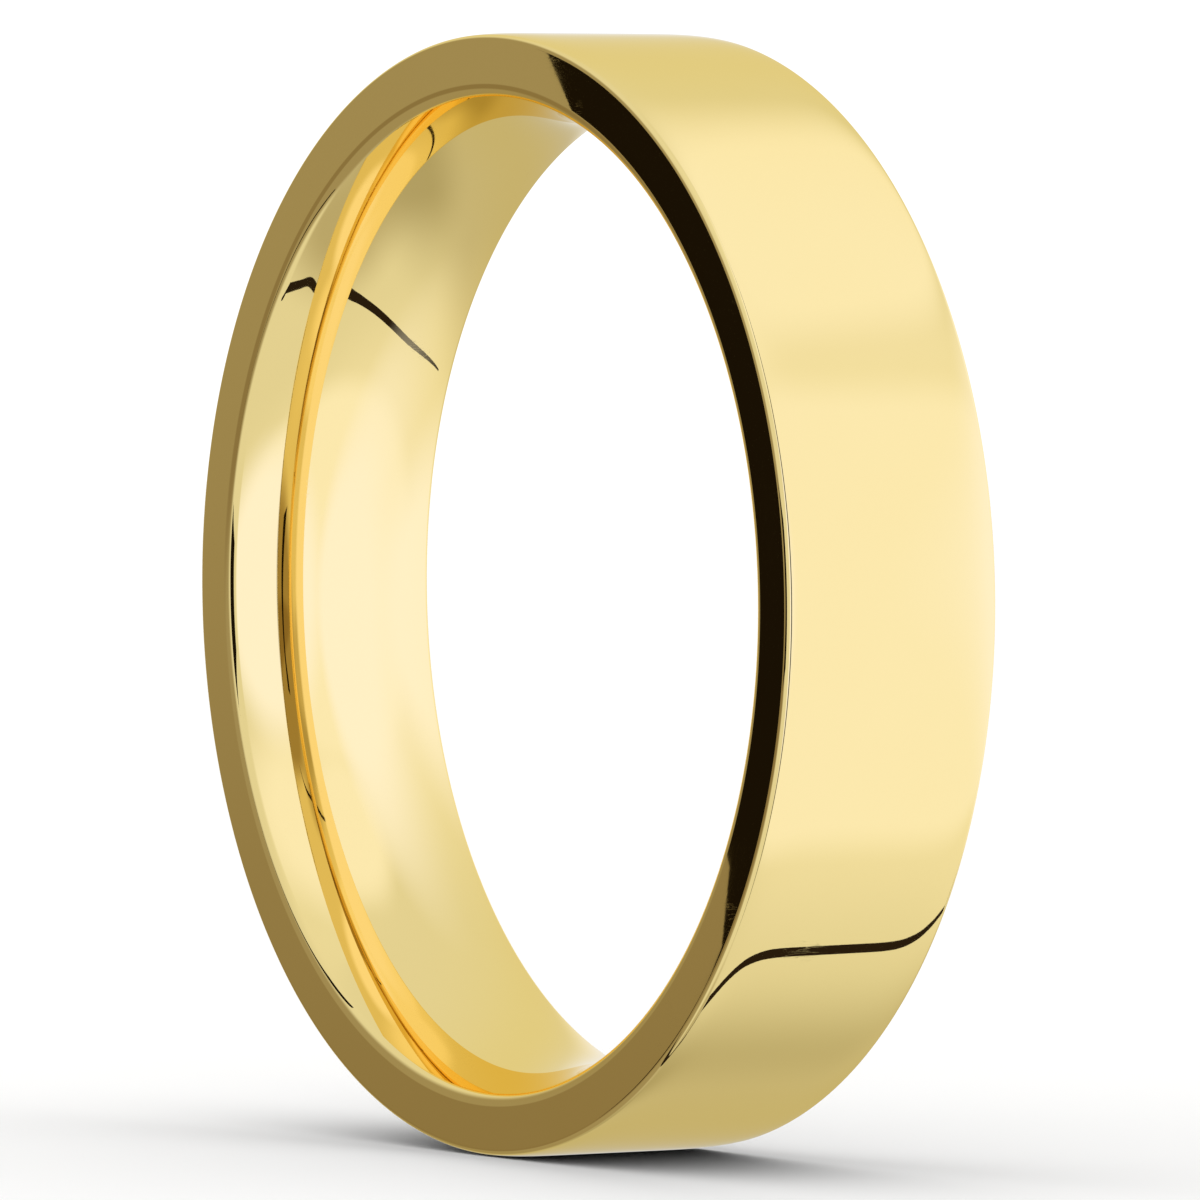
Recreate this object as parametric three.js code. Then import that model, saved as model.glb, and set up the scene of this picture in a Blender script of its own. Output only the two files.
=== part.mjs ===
// Wedding band: a plain flat ring with a comfort-fit inside, polished all over, in yellow gold.
// A real one is turned from a single piece of gold, so the whole ring is one closed body.
// Millimetres, +Z up. The ring stands on its edge: its axis, along which a finger goes, is Y.
// The origin is the ring's centre. Both side faces are alike, at -Y and +Y.

import * as THREE from 'three';

// Driving dimensions.
const INSIDE_DIAMETER = 19.4; // ring size 61 (ISO 8653), US 9 1/2, at the crest of the domed inside
const WALL_THICKNESS = 1.85; // from the crest of the dome to the outer surface
const BAND_WIDTH = 5.0; // along the axis, over the side faces
const DOME_RADIUS = 5.3; // of the arc across the inside of the band
const OUTER_CORNER_RADIUS = 0.13; // where the outer surface meets a side face
const INNER_CORNER_RADIUS = 0.3; // where the dome meets a side face

// Polishing rounds the flat outer surface a little towards its edges: the radius falls with a high
// power of the distance from the middle, and the surface ends at this tilt, in degrees.
const CROWN_EDGE_TILT = 8.0;
const CROWN_POWER = 8.5;

// How finely the round shapes are divided.
const SEGMENTS = 96; // around the ring: a multiple of four, so that a flat lies on each of +-X and +-Z
const CROWN_STEPS = 4; // on each side of the middle
const CORNER_STEPS = 4;
const DOME_STEPS = 14;

const HALF_WIDTH = BAND_WIDTH / 2;
const CREST = INSIDE_DIAMETER / 2;
const OUTER = CREST + WALL_THICKNESS;
const QUARTER_TURN = Math.PI / 2;
const HALF_TURN = Math.PI;

// The cross-section is drawn with x as the distance from the axis and y along it, going round the
// section anticlockwise. Angles are measured from outwards (0) towards the +Y side face (90 degrees).
function arc(centreX, centreY, radius, from, to, steps) {
  const points = [];
  for (let i = 0; i <= steps; i++) {
    const angle = from + ((to - from) * i) / steps;
    const x = centreX + radius * Math.cos(angle);
    const y = centreY + radius * Math.sin(angle);
    points.push(new THREE.Vector2(x, y));
  }
  return points;
}

// The outer surface between its two corners. The steps crowd towards the edges, where it curves.
function crown(edgeY, drop) {
  const points = [];
  for (let i = 1 - CROWN_STEPS; i < CROWN_STEPS; i++) {
    const across = Math.cbrt(i / CROWN_STEPS);
    const fall = drop * Math.abs(across) ** CROWN_POWER;
    points.push(new THREE.Vector2(OUTER - fall, across * edgeY));
  }
  return points;
}

// The whole section: four rounded corners, joined by the crown, the domed inside and two flat faces.
function section() {
  const tilt = THREE.MathUtils.degToRad(CROWN_EDGE_TILT);
  const crownEdgeY = HALF_WIDTH - OUTER_CORNER_RADIUS * (1 - Math.sin(tilt));
  const crownDrop = (crownEdgeY * Math.tan(tilt)) / CROWN_POWER;
  const outerX = OUTER - crownDrop - OUTER_CORNER_RADIUS * Math.cos(tilt);
  const outerY = HALF_WIDTH - OUTER_CORNER_RADIUS;

  // A corner of the inside touches the dome's arc where the two centres and that point are in line.
  const innerY = HALF_WIDTH - INNER_CORNER_RADIUS;
  const reach = DOME_RADIUS - INNER_CORNER_RADIUS;
  const domeX = CREST + DOME_RADIUS;
  const innerX = domeX - Math.sqrt(reach ** 2 - innerY ** 2);
  const domeEnd = Math.asin(innerY / reach);

  const points = [
    ...arc(outerX, outerY, OUTER_CORNER_RADIUS, tilt, QUARTER_TURN, CORNER_STEPS),
    ...arc(innerX, innerY, INNER_CORNER_RADIUS, QUARTER_TURN, HALF_TURN - domeEnd, CORNER_STEPS),
    ...arc(domeX, 0, DOME_RADIUS, HALF_TURN - domeEnd, HALF_TURN + domeEnd, DOME_STEPS).slice(1, -1),
    ...arc(innerX, -innerY, INNER_CORNER_RADIUS, HALF_TURN + domeEnd, 3 * QUARTER_TURN, CORNER_STEPS),
    ...arc(outerX, -outerY, OUTER_CORNER_RADIUS, -QUARTER_TURN, -tilt, CORNER_STEPS),
    ...crown(crownEdgeY, crownDrop),
  ];
  return points;
}

// The flats around the ring touch the true circles in their middles, so the overall diameter and the
// inside diameter hold across flats.
function bandGeometry() {
  const halfStep = Math.PI / SEGMENTS;
  const profile = section();
  for (const point of profile) {
    point.x /= Math.cos(halfStep);
  }
  profile.push(profile[0].clone());
  return new THREE.LatheGeometry(profile, SEGMENTS, halfStep);
}

const polishedGold = new THREE.MeshStandardMaterial({
  color: 0xf3d68c,
  metalness: 1.0,
  roughness: 0.06,
});

const band = new THREE.Mesh(bandGeometry(), polishedGold);
band.name = 'band';

const weddingBand = new THREE.Group();
weddingBand.add(band);

export default weddingBand;
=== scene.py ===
"""Looks for the wedding band: its finely divided visual mesh, the polished gold, and a small photo studio.

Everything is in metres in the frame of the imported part: the origin is the ring's centre, the ring's axis
is Y and +Z is up. Azimuths are measured from +X towards the front side face (-Y), as seen from above.
"""

import math

import bpy
from mathutils import Matrix, Vector


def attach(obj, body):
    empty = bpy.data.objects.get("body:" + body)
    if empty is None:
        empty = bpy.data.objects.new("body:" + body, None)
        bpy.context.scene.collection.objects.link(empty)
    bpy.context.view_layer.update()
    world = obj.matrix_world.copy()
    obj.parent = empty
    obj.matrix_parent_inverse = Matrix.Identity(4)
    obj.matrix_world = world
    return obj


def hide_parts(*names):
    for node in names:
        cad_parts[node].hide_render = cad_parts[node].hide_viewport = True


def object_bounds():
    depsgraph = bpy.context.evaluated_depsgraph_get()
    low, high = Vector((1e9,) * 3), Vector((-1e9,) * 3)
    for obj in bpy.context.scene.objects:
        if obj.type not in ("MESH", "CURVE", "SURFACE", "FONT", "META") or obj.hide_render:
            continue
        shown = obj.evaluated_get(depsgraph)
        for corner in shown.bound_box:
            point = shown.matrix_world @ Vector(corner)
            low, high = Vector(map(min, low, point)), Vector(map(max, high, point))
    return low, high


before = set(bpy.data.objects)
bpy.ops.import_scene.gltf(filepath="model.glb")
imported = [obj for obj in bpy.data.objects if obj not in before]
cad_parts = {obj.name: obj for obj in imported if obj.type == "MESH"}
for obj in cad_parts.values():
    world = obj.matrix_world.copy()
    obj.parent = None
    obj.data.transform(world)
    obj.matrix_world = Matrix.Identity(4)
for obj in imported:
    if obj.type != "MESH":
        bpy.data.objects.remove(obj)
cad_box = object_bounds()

MM = 0.001

# The ring, as in the CAD part.
RADIUS = cad_box[1][0]
HALF_WIDTH = cad_box[1][1]
CREST_RADIUS = 9.7 * MM
DOME_RADIUS = 5.3 * MM
OUTER_CORNER = 0.13 * MM
INNER_CORNER = 0.3 * MM
CROWN_TILT = math.radians(8.0)
CROWN_POWER = 8.5

# How finely the visual mesh is divided.
AROUND = 480
CORNER_STEPS = 10
DOME_STEPS = 44
CROWN_STEPS = 14


# ---------------------------------------------------------------- the ring's shape


def arc(centre, radius, start, end, steps):
    """Points and normals of an arc in the section plane, both as (away from the axis, along it)."""
    points = []
    for i in range(steps + 1):
        angle = start + (end - start) * i / steps
        normal = Vector((math.cos(angle), math.sin(angle)))
        points.append((Vector(centre) + radius * normal, normal))
    return points


def crown(edge, drop):
    """The outer surface between its corners: level, and rounded off a little towards both edges."""
    points = []
    for i in range(1 - CROWN_STEPS, CROWN_STEPS):
        share = math.copysign(abs(i / CROWN_STEPS) ** (1 / 3), i)
        slope = drop / edge * CROWN_POWER * math.copysign(abs(share) ** (CROWN_POWER - 1), share)
        point = Vector((RADIUS - drop * abs(share) ** CROWN_POWER, share * edge))
        points.append((point, Vector((1, slope)).normalized()))
    return points


def section():
    """The whole cross-section, going round it anticlockwise, as (point, outward normal)."""
    quarter = math.pi / 2
    half = math.pi
    edge = HALF_WIDTH - OUTER_CORNER * (1 - math.sin(CROWN_TILT))
    drop = edge * math.tan(CROWN_TILT) / CROWN_POWER
    outer_x = RADIUS - drop - OUTER_CORNER * math.cos(CROWN_TILT)
    outer_y = HALF_WIDTH - OUTER_CORNER
    inner_y = HALF_WIDTH - INNER_CORNER
    reach = DOME_RADIUS - INNER_CORNER
    dome_x = CREST_RADIUS + DOME_RADIUS
    inner_x = dome_x - math.sqrt(reach**2 - inner_y**2)
    end = math.asin(inner_y / reach)
    dome = arc((dome_x, 0), DOME_RADIUS, half - end, half + end, DOME_STEPS)[1:-1]
    return [
        *arc((outer_x, outer_y), OUTER_CORNER, CROWN_TILT, quarter, CORNER_STEPS),
        *arc((inner_x, inner_y), INNER_CORNER, quarter, half - end, CORNER_STEPS),
        *dome,
        *arc((inner_x, -inner_y), INNER_CORNER, half + end, 3 * quarter, CORNER_STEPS),
        *arc((outer_x, -outer_y), OUTER_CORNER, -quarter, -CROWN_TILT, CORNER_STEPS),
        *crown(edge, drop),
    ]


def spun(pair, angle):
    """A section vector turned about the ring's axis."""
    return Vector((pair[0] * math.cos(angle), pair[1], pair[0] * math.sin(angle)))


def make_band():
    """The ring as one closed smooth mesh, with the true surface's normals."""
    outline = section()
    count = len(outline)
    points = []
    normals = []
    for i in range(AROUND):
        angle = 2 * math.pi * i / AROUND
        for point, normal in outline:
            points.append(spun(point, angle))
            normals.append(spun(normal, angle))
    faces = []
    for i in range(AROUND):
        here = i * count
        there = (i + 1) % AROUND * count
        for j in range(count):
            k = (j + 1) % count
            faces.append((here + j, here + k, there + k, there + j))
    mesh = bpy.data.meshes.new("ring_band")
    mesh.from_pydata(points, [], faces)
    mesh.shade_smooth()
    mesh.normals_split_custom_set_from_vertices(normals)
    band = bpy.data.objects.new("ring_band", mesh)
    bpy.context.scene.collection.objects.link(band)
    return band


# ---------------------------------------------------------------- materials


class Nodes:
    """Short calls for building a node tree."""

    def __init__(self, tree):
        self.tree = tree
        tree.nodes.clear()

    def add(self, kind, settings=(), **inputs):
        node = self.tree.nodes.new(kind)
        for name, value in dict(settings).items():
            setattr(node, name, value)
        for name, value in inputs.items():
            key = int(name[1:]) if name[0] == "_" else name.replace("_", " ")
            self.put(node.inputs[key], value)
        return node

    def put(self, socket, value):
        if isinstance(value, bpy.types.NodeSocket):
            self.tree.links.new(value, socket)
        else:
            socket.default_value = value

    def math(self, operation, *values):
        node = self.add("ShaderNodeMath", {"operation": operation})
        for socket, value in zip(node.inputs, values):
            self.put(socket, value)
        return node.outputs[0]

    def smooth(self, value, low, high):
        """0 below low, 1 above high, and smooth in between."""
        node = self.add("ShaderNodeMapRange", {"interpolation_type": "SMOOTHSTEP"})
        self.put(node.inputs["Value"], value)
        node.inputs["From Min"].default_value = low
        node.inputs["From Max"].default_value = high
        return node.outputs["Result"]

    def mix(self, factor, a, b):
        node = self.add("ShaderNodeMix", {"data_type": "RGBA"})
        self.put(node.inputs["Factor"], factor)
        self.put(node.inputs[6], a)
        self.put(node.inputs[7], b)
        return node.outputs[2]

    def remap(self, value, low, high):
        """A value from 0 to 1 spread over low to high."""
        return self.math("ADD", self.math("MULTIPLY", value, high - low), low)


GOLD = (0.97, 0.765, 0.33, 1)
GOLD_WARM = (0.965, 0.752, 0.315, 1)
EDGE_TINT = (0.97, 0.86, 0.54, 1)
MIRROR_ROUGHNESS = 0.012
HAZE_ROUGHNESS = 0.03
SCRATCH_ROUGHNESS = 0.09
POLISH_LINE = 0.035 * MM
SCRATCH_WIDTH = 0.02 * MM
SCRATCH_LENGTH = 1.6 * MM
PATCH_SIZE = 3.5 * MM
RIPPLE_SIZE = 6.0 * MM

HAZE_RANGE = (0.42, 0.68)  # of the noise, from no haze to full haze
POLISH_LENGTH = 4 * MM
POLISH_ROUGHNESS = 0.012  # more or less, along the polishing lines
POLISH_HEIGHT = 0.25
SCRATCH_STRETCH = 0.12
SCRATCH_REACH = 0.006  # of the noise, to either side of its middle value
SCRATCH_HEIGHT = 0.3
SCRATCH_SHIFT = (0.0137, 0.0071, 0.0103)
SCRATCH_TURNS = ((0.4, 0.9, 0.0), (1.3, -0.5, 0.7), (-0.8, 0.2, 1.9))
WEAR_SIZE = 1.3 * MM
WEAR_RANGE = (0.6, 0.7)  # of the noise, from no scratches to all of them
RIPPLE_DEPTH = 0.0009 * MM
FINE_DEPTH = 0.00012 * MM
FINE_STRENGTH = 0.5


def scratches(nodes, place, turn, seed):
    """A few hairlines in one direction: a stretched noise, of which only the thin middles are kept."""
    mapped = nodes.add(
        "ShaderNodeMapping",
        Vector=place,
        Rotation=turn,
        Location=tuple(seed * shift for shift in SCRATCH_SHIFT),
        Scale=(1 / SCRATCH_LENGTH, 1 / SCRATCH_LENGTH, SCRATCH_STRETCH / SCRATCH_WIDTH),
    )
    noise = nodes.add(
        "ShaderNodeTexNoise", Vector=mapped.outputs[0], Scale=1.0, Detail=2.0, Roughness=0.5
    )
    off = nodes.math("ABSOLUTE", nodes.math("SUBTRACT", noise.outputs[0], 0.5))
    return nodes.math("SUBTRACT", 1.0, nodes.smooth(off, 0.0, SCRATCH_REACH))


def polished_gold():
    """Mirror-polished yellow gold: a faint haze in patches, lines from the wheel, a few scratches."""
    material = bpy.data.materials.new("polished_gold")
    material.use_nodes = True
    nodes = Nodes(material.node_tree)
    place = nodes.add("ShaderNodeTexCoord").outputs["Object"]

    patches = nodes.add(
        "ShaderNodeTexNoise", Vector=place, Scale=1 / PATCH_SIZE, Detail=3.0, Roughness=0.55
    ).outputs[0]
    patch = nodes.smooth(patches, *HAZE_RANGE)

    parts = nodes.add("ShaderNodeSeparateXYZ", Vector=place)
    x, y, z = parts.outputs
    squares = nodes.math("ADD", nodes.math("MULTIPLY", x, x), nodes.math("MULTIPLY", z, z))
    away = nodes.math("SQRT", squares)
    across = nodes.add(
        "ShaderNodeCombineXYZ",
        X=nodes.math("DIVIDE", y, POLISH_LINE),
        Y=nodes.math("DIVIDE", away, POLISH_LINE),
        Z=nodes.math("DIVIDE", x, POLISH_LENGTH),
    ).outputs[0]
    lines = nodes.add(
        "ShaderNodeTexNoise",
        {"noise_dimensions": "4D"},
        Vector=across,
        W=nodes.math("DIVIDE", z, POLISH_LENGTH),
        Scale=1.0,
        Detail=2.0,
    ).outputs[0]

    marks = scratches(nodes, place, SCRATCH_TURNS[0], 1)
    for seed, turn in enumerate(SCRATCH_TURNS[1:], 2):
        marks = nodes.math("MAXIMUM", marks, scratches(nodes, place, turn, seed))
    wear = nodes.add("ShaderNodeTexNoise", Vector=place, Scale=1 / WEAR_SIZE, Detail=1.0).outputs[0]
    marks = nodes.math("MULTIPLY", marks, nodes.smooth(wear, *WEAR_RANGE))

    haze = nodes.remap(patch, MIRROR_ROUGHNESS, HAZE_ROUGHNESS)
    lined = nodes.math("ADD", haze, nodes.remap(lines, -POLISH_ROUGHNESS, POLISH_ROUGHNESS))
    rough = nodes.math("ADD", lined, nodes.math("MULTIPLY", marks, SCRATCH_ROUGHNESS))

    ripple = nodes.add("ShaderNodeTexNoise", Vector=place, Scale=1 / RIPPLE_SIZE, Detail=1.0).outputs[0]
    wavy = nodes.add("ShaderNodeBump", Strength=1.0, Distance=RIPPLE_DEPTH, Height=ripple)
    ridges = nodes.math("MULTIPLY", lines, POLISH_HEIGHT)
    grooves = nodes.math("MULTIPLY", marks, SCRATCH_HEIGHT)
    bump = nodes.add(
        "ShaderNodeBump",
        Strength=FINE_STRENGTH,
        Distance=FINE_DEPTH,
        Height=nodes.math("SUBTRACT", ridges, grooves),
        Normal=wavy.outputs[0],
    )

    shader = nodes.add("ShaderNodeBsdfPrincipled", Metallic=1.0, Specular_Tint=EDGE_TINT)
    nodes.put(shader.inputs["Base Color"], nodes.mix(patches, GOLD, GOLD_WARM))
    nodes.put(shader.inputs["Roughness"], rough)
    nodes.put(shader.inputs["Normal"], bump.outputs[0])
    nodes.add("ShaderNodeOutputMaterial", Surface=shader.outputs[0])
    return material


# ---------------------------------------------------------------- the studio

WHITE = (1.0, 1.0, 1.0)
PLAIN_LIGHT = 1.12
COOL = (1.05, 1.15, 1.72)
CLEAR = (1.01, 1.07, 1.3)
BRIGHT = (0.93, 0.97, 1.05)
SOFT = (0.8, 0.835, 0.85)
CLOUD = (0.86, 0.9, 0.93)
GREY = (0.6, 0.61, 0.6)
SHADE = (0.51, 0.5, 0.43)
DUSK = (0.46, 0.455, 0.39)
BROWN = (0.367, 0.332, 0.25)
DIM = (0.266, 0.22, 0.142)
BLACK = (0.01, 0.007, 0.004)
DARK = (0.022, 0.015, 0.012)

# What stands round the ring, far enough away to lie in one direction: azimuth and elevation of its middle
# and half its size, in degrees, how much of that is its soft edge, and its light. Later ones lie over
# earlier ones.
FAR_LIGHTS = (
    ("sky", (40, 75), (150, 45), 0.9, CLOUD),
    ("behind_below", (-152, -62), (80, 48), 0.75, DUSK),
    ("below", (-60, -90), (900, 27), 0.75, SHADE),
    ("behind_low", (-135, -28), (52, 32), 0.5, GREY),
    ("left", (138, -18), (62, 66), 0.35, BROWN),
    ("left_low", (135, -12), (52, 13), 0.45, DIM),
    ("overhead", (-8, 52), (66, 34), 0.6, CLEAR),
    ("wrap", (-44, -2), (84, 64), 0.5, BRIGHT),
    ("core", (-25, -4), (50, 47), 0.2, CLEAR),
    ("middle", (5, 0), (28, 40), 0.4, COOL),
    ("side", (-80, 2), (42, 27), 0.6, COOL),
    ("window", (-125, 2), (34, 15), 0.7, CLEAR),
)


# The dark line that shows in the gold as an S: it runs from in front of the ring, under it and up behind
# it. Its rows began as a fit to the photo's S-shaped line, and were then thinned, rounded and moved.
SEAM_LINE = (  # azimuth, elevation, distance in ring radii, thickness as a share of the distance
    (92, -48, 2.0, 0.012),
    (80, -61, 2.2, 0.05),
    (67, -73, 2.5, 0.05),
    (50, -78.5, 2.8, 0.05),
    (5, -79, 2.8, 0.042),
    (-25, -77.5, 3.0, 0.055),
    (-45, -75, 3.9, 0.06),
    (-53, -70, 5.0, 0.05),
    (-60, -62, 8.0, 0.038),
    (-75, -42, 18.0, 0.026),
    (-92, -25, 20.0, 0.005),
)
SEAM_STEPS = 6
SEAM_SIDES = 8

# A black card close behind the ring, that the side face looks at where it is black.
FLAG_AZIMUTH = 190
FLAG_DISTANCE = 0.84
FLAG_OUTLINE = (
    (1.13, 1.02),
    (1.95, 1.02),
    (1.95, -1.3),
    (1.45, -1.3),
    (1.45, -1.0),
    (1.6, -0.72),
    (1.62, -0.57),
    (1.22, 0.86),
)

# A dark card in front, that only the rounded inner corner on the left looks at.
CORNER_AZIMUTH = 80
CORNER_DISTANCE = 2.9
CORNER_OUTLINE = ((-0.77, 0.5), (0.93, 0.5), (0.93, -0.45), (-0.77, -0.45))

# Soft cards, each as its middle and two half-lengths: a light behind the ring for the inside, a light
# above it for the top of the inside, and a narrow shade on the right for the edge of the outer surface.
INSIDE_LIGHT = ((0.7, 0.8, 0.12), (1.55, 0, 0), (0, 0, 1.05))
TOP_LIGHT = ((0.95, 0.9, 2.0), (1.3, 0, 0), (0, 1.0, 0))
EDGE_SHADE = ((1.3, -0.2, 0.0), (0, 0.06, 0), (0, 0, 2.4))
CARD_FADE = 0.5


def world_light():
    """The light that the gold mirrors, and a plain white surround for everything else."""
    world = bpy.data.worlds.new("studio")
    bpy.context.scene.world = world
    world.use_nodes = True
    nodes = Nodes(world.node_tree)
    x, y, z = nodes.add(
        "ShaderNodeSeparateXYZ", Vector=nodes.add("ShaderNodeTexCoord").outputs["Generated"]
    ).outputs
    azimuth = nodes.math("DEGREES", nodes.math("ARCTAN2", nodes.math("MULTIPLY", y, -1.0), x))
    elevation = nodes.math("DEGREES", nodes.math("ARCSINE", z))
    colour = (*SOFT, 1.0)
    for _, middle, size, soft, light in FAR_LIGHTS:  # the first is only its name
        mask = far_mask(nodes, azimuth, elevation, middle, size, soft)
        colour = nodes.mix(mask, colour, (*light, 1.0))
    mirrored = nodes.add("ShaderNodeBackground", Color=colour)
    plain = nodes.add("ShaderNodeBackground", Color=(*WHITE, 1.0), Strength=PLAIN_LIGHT)
    rays = nodes.add("ShaderNodeLightPath")
    glossy = rays.outputs["Is Glossy Ray"]
    both = nodes.add("ShaderNodeMixShader", _0=glossy, _1=plain.outputs[0], _2=mirrored.outputs[0])
    nodes.add("ShaderNodeOutputWorld", Surface=both.outputs[0])


def far_mask(nodes, azimuth, elevation, middle, size, soft):
    """1 inside an oval patch of the sky, 0 outside it."""
    sideways = nodes.math("WRAP", nodes.math("SUBTRACT", azimuth, middle[0]), 180.0, -180.0)
    upwards = nodes.math("SUBTRACT", elevation, middle[1])
    squares = []
    for part, half in zip((sideways, upwards), size):
        share = nodes.math("ABSOLUTE", nodes.math("DIVIDE", part, half))
        squares.append(nodes.math("POWER", share, 2.0))
    away = nodes.math("SQRT", nodes.math("ADD", *squares))
    return nodes.smooth(away, 1.0, 1.0 - soft)


def glow(name, colour):
    """An even light of one colour, for a card or the dark line."""
    material = bpy.data.materials.new(name)
    material.use_nodes = True
    nodes = Nodes(material.node_tree)
    light = nodes.add("ShaderNodeEmission", Color=(*colour, 1.0))
    nodes.add("ShaderNodeOutputMaterial", Surface=light.outputs[0])
    return material


def mirrored_only(name, mesh):
    """A stage piece that shows only in the gold."""
    piece = bpy.data.objects.new(name, mesh)
    bpy.context.scene.collection.objects.link(piece)
    piece.visible_camera = False
    piece.visible_diffuse = False
    piece.visible_shadow = False
    return piece


def upright_card(name, azimuth, distance, outline, colour):
    """A flat card that faces the ring, with its outline as (to the right, up). All in ring radii."""
    turn = math.radians(azimuth)
    out = Vector((math.cos(turn), -math.sin(turn), 0)) * distance
    right = Vector((math.sin(turn), math.cos(turn), 0))
    mesh = bpy.data.meshes.new(name)
    corners = [(out + right * u + Vector((0, 0, v))) * RADIUS for u, v in outline]
    mesh.from_pydata(corners, [], [tuple(range(len(corners)))])
    mesh.materials.append(glow(name, colour))
    return mirrored_only(name, mesh)


def along(line, place):
    """A point of the smooth curve through a line of points, at a place counted in those points."""
    last = len(line) - 1
    i = min(int(place), last - 1)
    t = place - i
    before, start, end, after = (Vector(line[min(max(i + k, 0), last)]) for k in (-1, 0, 1, 2))
    pull_in = (end - before) / 2
    pull_out = (after - start) / 2
    bend = 3 * (end - start) - 2 * pull_in - pull_out
    twist = 2 * (start - end) + pull_in + pull_out
    return start + (pull_in + (bend + twist * t) * t) * t


def seen_at(azimuth, elevation, distance):
    """A place given by its direction in degrees and its distance from the ring's centre."""
    turn = math.radians(azimuth)
    rise = math.radians(elevation)
    level = math.cos(rise)
    return distance * Vector((math.cos(turn) * level, -math.sin(turn) * level, math.sin(rise)))


def dark_line(name, line, colour):
    """A round tube, open at its ends, along the smooth curve through a line of rows as in SEAM_LINE."""
    count = (len(line) - 1) * SEAM_STEPS + 1
    path = []
    widths = []
    for i in range(count):
        azimuth, elevation, distance, share = along(line, i / SEAM_STEPS)
        path.append(seen_at(azimuth, elevation, distance * RADIUS))
        widths.append(distance * share * RADIUS)
    points = []
    for i in range(count):
        forward = (path[min(i + 1, count - 1)] - path[max(i - 1, 0)]).normalized()
        side = forward.cross(Vector((1, 0, 0))).normalized()
        top = side.cross(forward)
        for k in range(SEAM_SIDES):
            turn = 2 * math.pi * k / SEAM_SIDES
            points.append(path[i] + (side * math.cos(turn) + top * math.sin(turn)) * widths[i] / 2)
    faces = []
    for i in range(count - 1):
        for k in range(SEAM_SIDES):
            a = i * SEAM_SIDES + k
            b = i * SEAM_SIDES + (k + 1) % SEAM_SIDES
            faces.append((a, b, b + SEAM_SIDES, a + SEAM_SIDES))
    mesh = bpy.data.meshes.new(name)
    mesh.from_pydata(points, [], faces)
    mesh.materials.append(glow(name, colour))
    return mirrored_only(name, mesh)


def soft_card(name, middle, right, up, colour):
    """A flat card that fades out towards its oval edge, spanned by two half-lengths. All in ring radii."""
    mesh = bpy.data.meshes.new(name)
    mesh.from_pydata([(-1, -1, 0), (1, -1, 0), (1, 1, 0), (-1, 1, 0)], [], [(0, 1, 2, 3)])
    material = bpy.data.materials.new(name)
    material.use_nodes = True
    nodes = Nodes(material.node_tree)
    place = nodes.add("ShaderNodeTexCoord").outputs["Object"]
    off = nodes.add("ShaderNodeVectorMath", {"operation": "LENGTH"}, _0=place).outputs["Value"]
    mask = nodes.smooth(off, 1.0, 1.0 - CARD_FADE)
    light = nodes.add("ShaderNodeEmission", Color=(*colour, 1.0))
    clear = nodes.add("ShaderNodeBsdfTransparent")
    both = nodes.add("ShaderNodeMixShader", _0=mask, _1=clear.outputs[0], _2=light.outputs[0])
    nodes.add("ShaderNodeOutputMaterial", Surface=both.outputs[0])
    mesh.materials.append(material)
    card = mirrored_only(name, mesh)
    half_width = Vector(right) * RADIUS
    half_height = Vector(up) * RADIUS
    facing = half_width.cross(half_height).normalized()
    turn = Matrix((half_width, half_height, facing)).transposed().to_4x4()
    card.matrix_world = Matrix.Translation(Vector(middle) * RADIUS) @ turn
    return card


FLOOR_RADIUS = 0.6
FLOOR_SIDES = 96
PAPER = (0.93, 0.925, 0.915)


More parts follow.
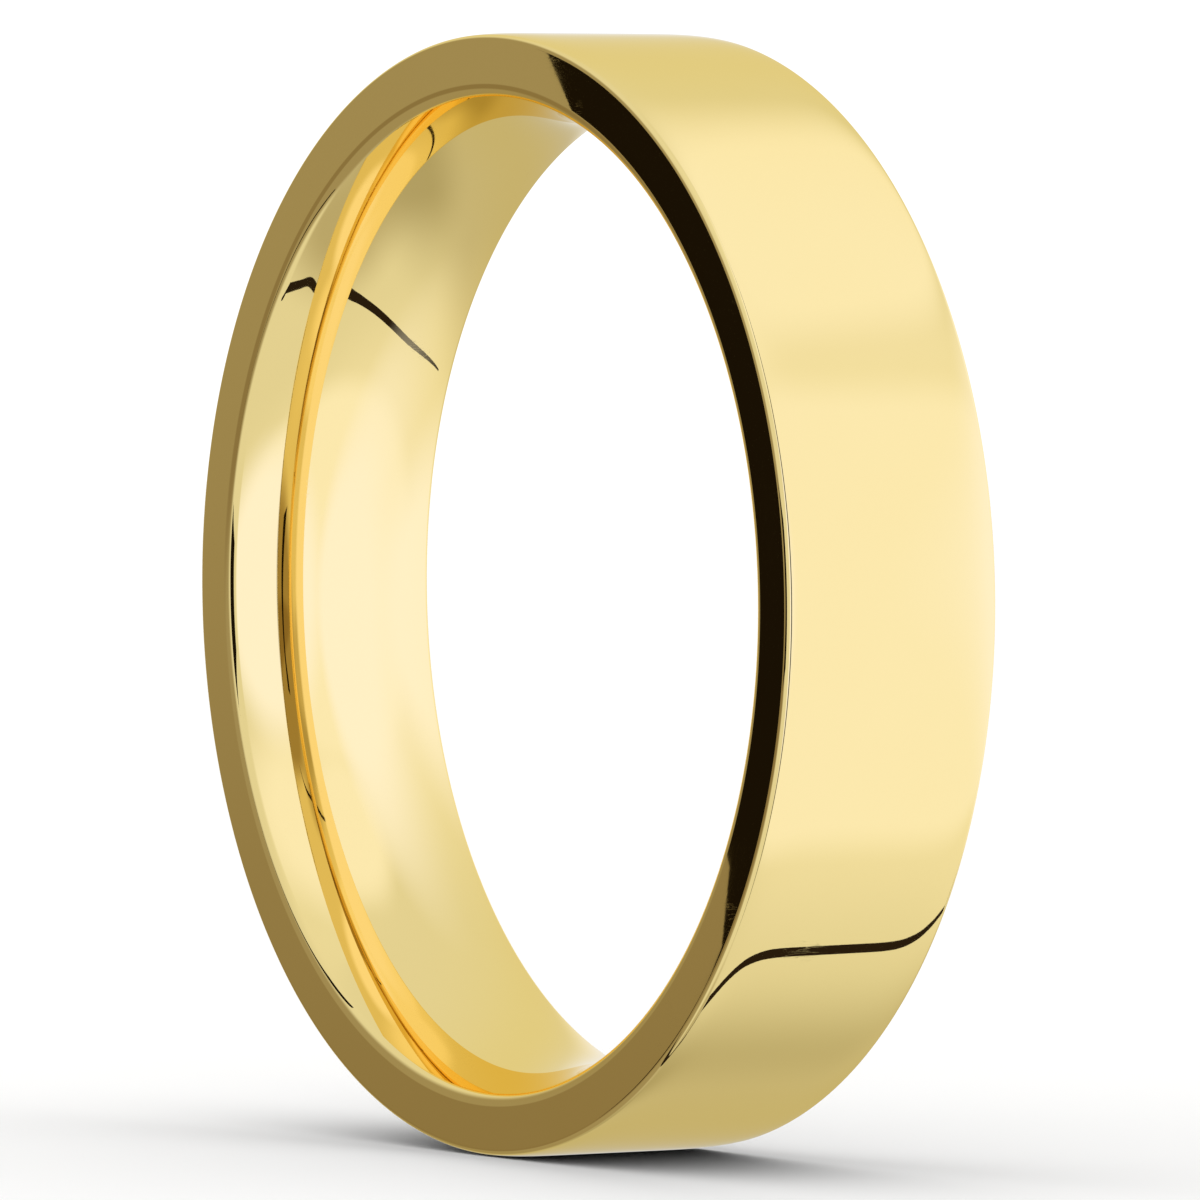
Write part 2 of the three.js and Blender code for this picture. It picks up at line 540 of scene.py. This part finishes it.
def make_floor():
    """A plain pale floor, on which the ring stands. The gold doesn't mirror it."""
    mesh = bpy.data.meshes.new("floor")
    ring = [
        (FLOOR_RADIUS * math.cos(a), FLOOR_RADIUS * math.sin(a), -RADIUS)
        for a in (2 * math.pi * i / FLOOR_SIDES for i in range(FLOOR_SIDES))
    ]
    mesh.from_pydata(ring, [], [tuple(range(FLOOR_SIDES))])
    floor = bpy.data.objects.new("floor", mesh)
    bpy.context.scene.collection.objects.link(floor)
    material = bpy.data.materials.new("floor")
    material.use_nodes = True
    nodes = Nodes(material.node_tree)
    paper = nodes.add("ShaderNodeBsdfDiffuse", Color=(*PAPER, 1.0))
    nodes.add("ShaderNodeOutputMaterial", Surface=paper.outputs[0])
    mesh.materials.append(material)
    floor.visible_glossy = False


# ---------------------------------------------------------------- the camera

# The view as fitted to the photo. The azimuth is measured from -Y, the direction the front side face looks
# in, towards +X. The frame's shifts are shares of its width.
VIEW_AZIMUTH = math.radians(57.956)
VIEW_ELEVATION = math.radians(1.826)
VIEW_DISTANCE = 262.5 * MM
SENSOR = 36.0
LENS = 381.5
FRAME_RIGHT = 0.011625
FRAME_UP = -0.0056417
CLIP = (0.01, 10.0)


def make_camera():
    """The photograph's viewing angle: a long lens, almost level with the ring."""
    data = bpy.data.cameras.new("camera")
    data.sensor_width = SENSOR
    data.lens = LENS
    data.shift_x = FRAME_RIGHT
    data.shift_y = FRAME_UP
    data.clip_start, data.clip_end = CLIP
    camera = bpy.data.objects.new("camera", data)
    bpy.context.scene.collection.objects.link(camera)
    level = math.cos(VIEW_ELEVATION)
    back = Vector(
        (math.sin(VIEW_AZIMUTH) * level, -math.cos(VIEW_AZIMUTH) * level, math.sin(VIEW_ELEVATION))
    )
    turn = back.to_track_quat("Z", "Y").to_matrix().to_4x4()
    camera.matrix_world = Matrix.Translation(back * VIEW_DISTANCE) @ turn
    bpy.context.scene.camera = camera


# ---------------------------------------------------------------- all together

band = make_band()
band.data.materials.append(polished_gold())
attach(band, "root")
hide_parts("band")

make_floor()
world_light()
dark_line("seam", SEAM_LINE, DARK)
soft_card("inside_light", *INSIDE_LIGHT, COOL)
soft_card("top_light", *TOP_LIGHT, CLEAR)
upright_card("flag", FLAG_AZIMUTH, FLAG_DISTANCE, FLAG_OUTLINE, BLACK)
upright_card("corner_flag", CORNER_AZIMUTH, CORNER_DISTANCE, CORNER_OUTLINE, BLACK)
soft_card("edge_shade", *EDGE_SHADE, BLACK)
make_camera()
bpy.context.scene.view_settings.view_transform = "Standard"
bpy.context.scene.cycles.caustics_reflective = False
